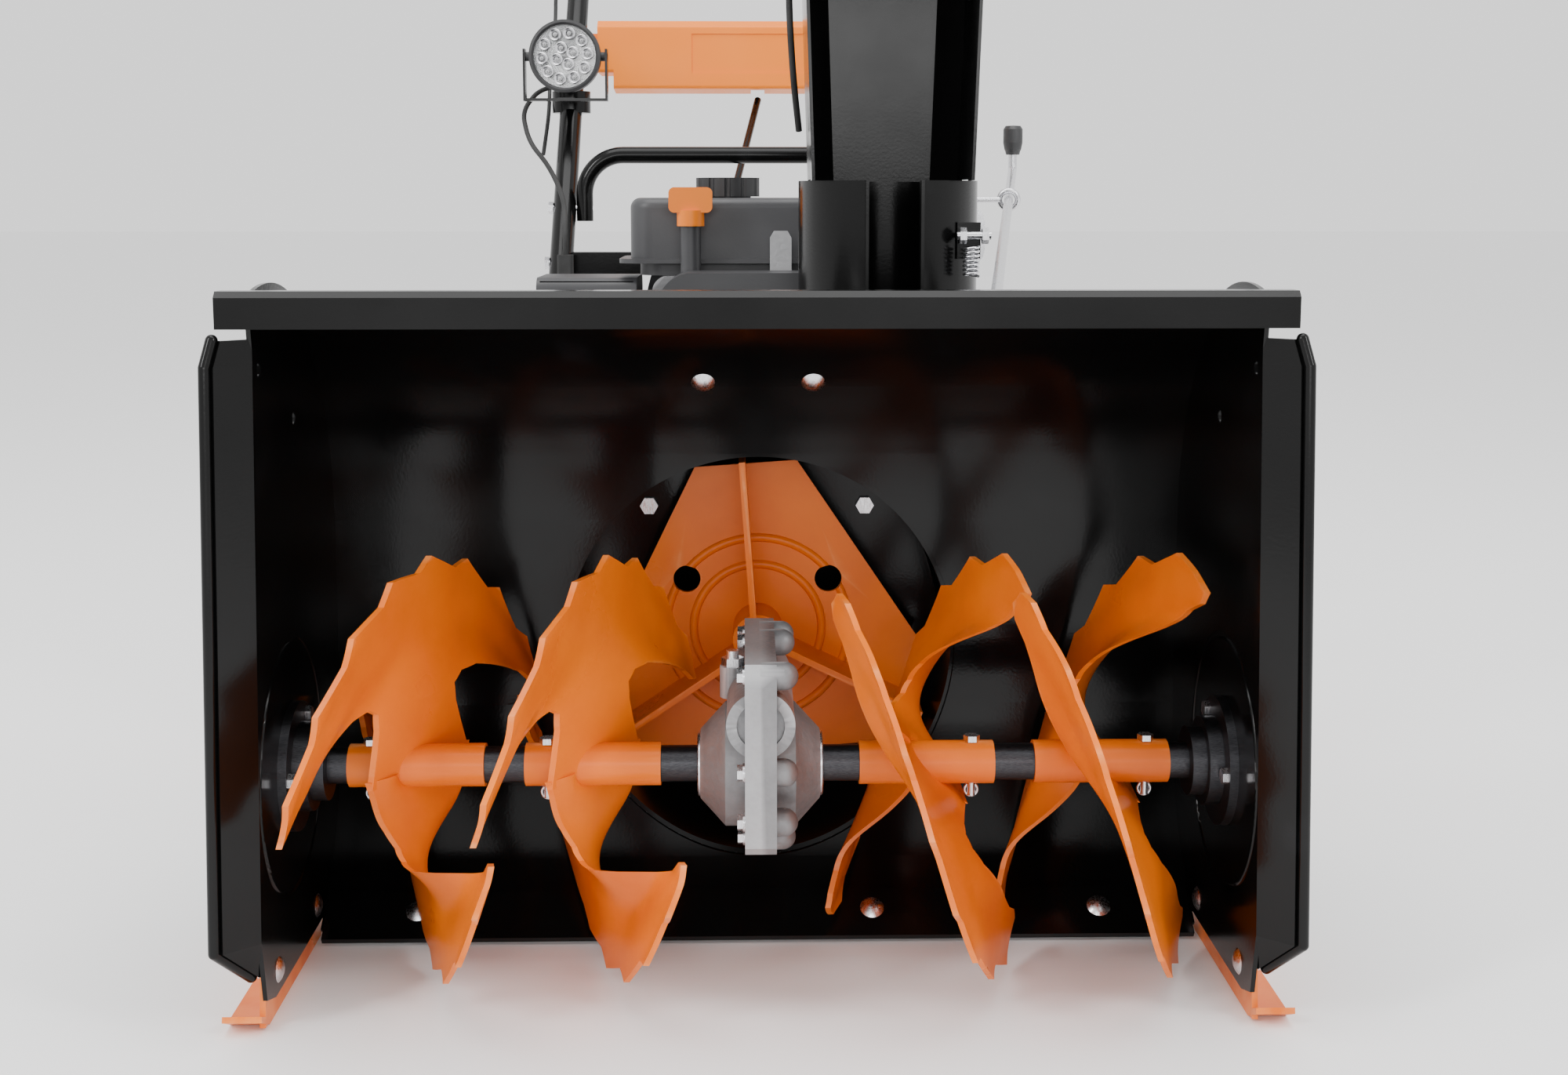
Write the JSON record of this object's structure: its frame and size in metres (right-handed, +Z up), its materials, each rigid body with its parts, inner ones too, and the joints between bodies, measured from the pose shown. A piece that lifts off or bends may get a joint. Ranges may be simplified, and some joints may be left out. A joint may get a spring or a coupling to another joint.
{
  "type": "two stage snowblower",
  "caption": "Walk-behind two stage snow thrower: serrated augers and geared impeller in a steel housing, turning chute with deflector, engine, lugged tyres and handlebars with lamp.",
  "frame": {"origin": "centre of the whole machine's footprint, on the ground", "axes": "+Z up, -Y towards the front of the housing, +X to the right when seen from the front"},
  "size_m": [0.71, 1.4771, 1.0636],
  "materials": {
    "black_paint": "gloss black enamel on pressed steel",
    "orange_paint": "gloss orange enamel with worn edges",
    "orange_plastic": "glossy moulded plastic",
    "cast_grey": "fine sand cast, satin",
    "dark_steel": "dark oiled steel",
    "bright_steel": "zinc plated",
    "engine_black": "semi gloss black",
    "black_plastic": "satin moulded plastic",
    "rubber": "satin rubber",
    "tyre": "matt with moulded lugs",
    "bronze": "machined bronze",
    "lens": "clear moulded lens over bright reflectors"
  },
  "bodies": {
    "frame": {"auger_housing": "black_paint", "bearings": "dark_steel", "belt_cover": "engine_black", "cables": "rubber", "carriage_bolts": "bright_steel", "chassis": "black_paint", "control_panel": "orange_plastic", "crank_supports": "bright_steel", "cross_brace": "black_paint", "drive_belts": "rubber", "engine_block": "cast_grey", "front_rail": "black_paint", "fuel_tank": "engine_black", "gearbox_case_left": "cast_grey", "gearbox_case_right": "cast_grey", "handle_bracket": "black_paint", "handle_grips": "rubber", "handlebars": "black_paint", "heater_box": "engine_black", "hex_bolts": "bright_steel", "impeller_drum": "black_paint", "lamp_bracket": "black_paint", "lever_brackets": "black_paint", "muffler": "bright_steel", "oil_filler_tube": "engine_black", "recoil_cover": "engine_black", "scraper_bar": "black_paint", "shift_rod": "black_paint", "side_plate_left": "black_paint", "side_plate_right": "black_paint", "skid_shoes": "orange_paint"},
    "augers": {"auger_shaft": "dark_steel", "auger_outer_left": "orange_paint", "auger_inner_left": "orange_paint", "auger_inner_right": "orange_paint", "auger_outer_right": "orange_paint", "worm_wheel": "bronze", "shear_pins": "bright_steel"},
    "impeller": {"impeller_shaft": "dark_steel", "impeller_fan": "orange_paint"},
    "crankshaft": {"crankshaft": "dark_steel"},
    "drive_disc": {"drive_disc": "cast_grey"},
    "friction_drive": {"friction_drive": "rubber"},
    "wheels": {"wheel_axle": "dark_steel", "wheel_rims": "orange_paint", "tyres": "tyre"},
    "chute": {"chute_lower": "black_paint", "chute_hardware": "bright_steel", "deflector_cable": "rubber"},
    "deflector": {"chute_deflector": "black_paint"},
    "chute_crank": {"crank_rod": "bright_steel", "crank_knob": "black_plastic"},
    "clutch_lever_left": {"clutch_lever_left": "bright_steel"},
    "clutch_lever_right": {"clutch_lever_right": "bright_steel"},
    "shift_lever": {"shift_lever": "black_plastic"},
    "lamp": {"lamp_housing": "black_plastic", "lamp_lens": "lens"},
    "fuel_cap": {"fuel_cap": "black_plastic"},
    "oil_cap": {"oil_cap": "orange_plastic"},
    "starter_grip": {"starter_grip": "black_plastic"}
  },
  "joints": [
    {"name": "auger_spin", "type": "hinge", "parent": "frame", "child": "augers", "pos_m": [0, -0.59165, 0.155], "axis": [1, 0, 0], "continuous": true},
    {"name": "impeller_spin", "type": "hinge", "parent": "frame", "child": "impeller", "pos_m": [0, -0.36565, 0.2], "axis": [0, 1, 0], "continuous": true},
    {"name": "engine_spin", "type": "hinge", "parent": "frame", "child": "crankshaft", "pos_m": [0, -0.26465, 0.441], "axis": [0, 1, 0], "continuous": true},
    {"name": "drive_disc_spin", "type": "hinge", "parent": "frame", "child": "drive_disc", "pos_m": [0, -0.15065, 0.25], "axis": [0, 1, 0], "continuous": true},
    {"name": "wheel_spin", "type": "hinge", "parent": "frame", "child": "wheels", "pos_m": [0, -0.02065, 0.203], "axis": [1, 0, 0], "continuous": true},
    {"name": "friction_wheel_spin", "type": "hinge", "parent": "frame", "child": "friction_drive", "pos_m": [0, -0.09025, 0.25], "axis": [1, 0, 0], "continuous": true},
    {"name": "chute_turn", "type": "hinge", "parent": "frame", "child": "chute", "pos_m": [0.104, -0.36065, 0.44], "axis": [0, 0, 1], "range_deg": [-95, 95]},
    {"name": "chute_crank_turn", "type": "hinge", "parent": "frame", "child": "chute_crank", "pos_m": [0.1925, -0.33765, 0.448], "axis": [0.1556, 0.9726, 0.1725], "range_deg": [-1150, 1150]},
    {"name": "deflector_tilt", "type": "hinge", "parent": "chute", "child": "deflector", "pos_m": [0.104, -0.33065, 0.838], "axis": [1, 0, 0], "range_deg": [0, 45]},
    {"name": "left_lever_press", "type": "hinge", "parent": "frame", "child": "clutch_lever_left", "pos_m": [-0.205, 0.59589, 1.01942], "axis": [-1, 0, 0], "range_deg": [0, 7], "stiffness_Nm_per_rad": 1, "springref_deg": -8.59},
    {"name": "right_lever_press", "type": "hinge", "parent": "frame", "child": "clutch_lever_right", "pos_m": [0.205, 0.59589, 1.01942], "axis": [-1, 0, 0], "range_deg": [0, 7], "stiffness_Nm_per_rad": 1, "springref_deg": -8.59},
    {"name": "shift_tilt", "type": "hinge", "parent": "frame", "child": "shift_lever", "pos_m": [0.006, 0.39335, 0.722], "axis": [1, 0, 0], "range_deg": [-20, 20]},
    {"name": "lamp_tilt", "type": "hinge", "parent": "frame", "child": "lamp", "pos_m": [-0.205, 0.23135, 0.7], "axis": [1, 0, 0], "range_deg": [-15, 15]},
    {"name": "fuel_cap_turn", "type": "hinge", "parent": "frame", "child": "fuel_cap", "pos_m": [-0.025, -0.13065, 0.547], "axis": [0, 0, 1], "range_deg": [0, 90]},
    {"name": "oil_cap_turn", "type": "hinge", "parent": "frame", "child": "oil_cap", "pos_m": [-0.057, -0.20665, 0.522], "axis": [0, 0, 1], "range_deg": [0, 360]},
    {"name": "starter_pull", "type": "slide", "parent": "frame", "child": "starter_grip", "axis": [0, 1, 0], "range_m": [0, 0.045], "stiffness_N_per_m": 40, "springref_m": -0.03}
  ],
  "couplings": [
    {"joint": "impeller_spin", "follows": "auger_spin", "ratio": 10},
    {"joint": "drive_disc_spin", "follows": "engine_spin", "ratio": 1.0556},
    {"joint": "friction_wheel_spin", "follows": "wheel_spin", "ratio": -3.9108},
    {"joint": "chute_crank_turn", "follows": "chute_turn", "ratio": 12}
  ]
}
